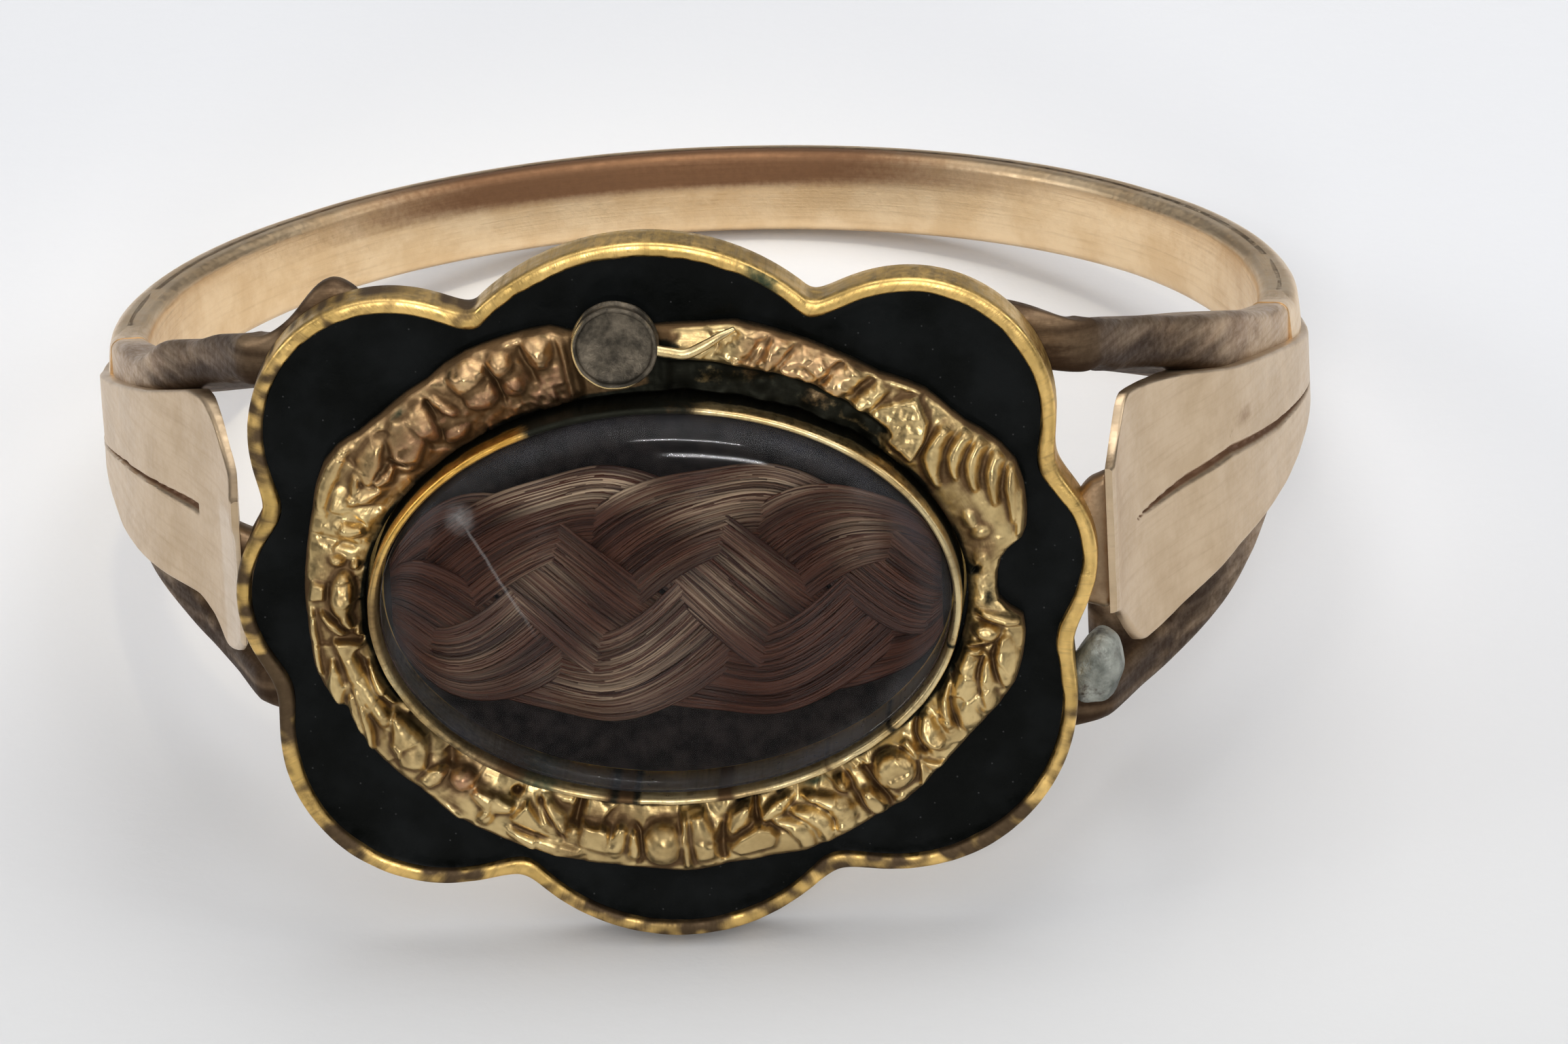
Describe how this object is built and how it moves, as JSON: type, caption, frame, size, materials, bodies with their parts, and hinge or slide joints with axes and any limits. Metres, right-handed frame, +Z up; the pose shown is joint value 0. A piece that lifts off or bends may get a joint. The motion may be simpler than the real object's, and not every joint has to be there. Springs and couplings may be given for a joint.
{
  "type": "mourning ring",
  "caption": "Finger ring with a lobed black enamel head, a chased gold border and an oval window of plaited hair under a domed crystal, on split leaf shoulders and a thin hoop.",
  "frame": {"origin": "middle of the footprint on the surface that the ring lies on", "axes": "+Z up from the surface, -Y towards the side that the head faces, X across the head; the hoop lies on its side and leans 15 degrees forward of flat"},
  "size_m": [0.019, 0.021, 0.0109],
  "materials": {
    "gold": "worn satin gold with brown tarnish",
    "black_enamel": "smooth gloss enamel",
    "chased_gold": "chased and worn, dark in the recesses",
    "worn_cup": "dark and rubbed, with a bright rim",
    "crystal": "clear, finely scratched",
    "dark_backing": "matt",
    "hair": "soft sheen"
  },
  "bodies": {
    "root": {"ring_frame": "gold", "enamel": "black_enamel", "chased_border": "chased_gold", "top_boss": "worn_cup", "boss_wire": "chased_gold", "crystal": "crystal", "hair_ground": "dark_backing", "hair_lock_1": "hair", "hair_lock_2": "hair", "hair_lock_3": "hair", "hair_lock_4": "hair"}
  },
  "joints": []
}
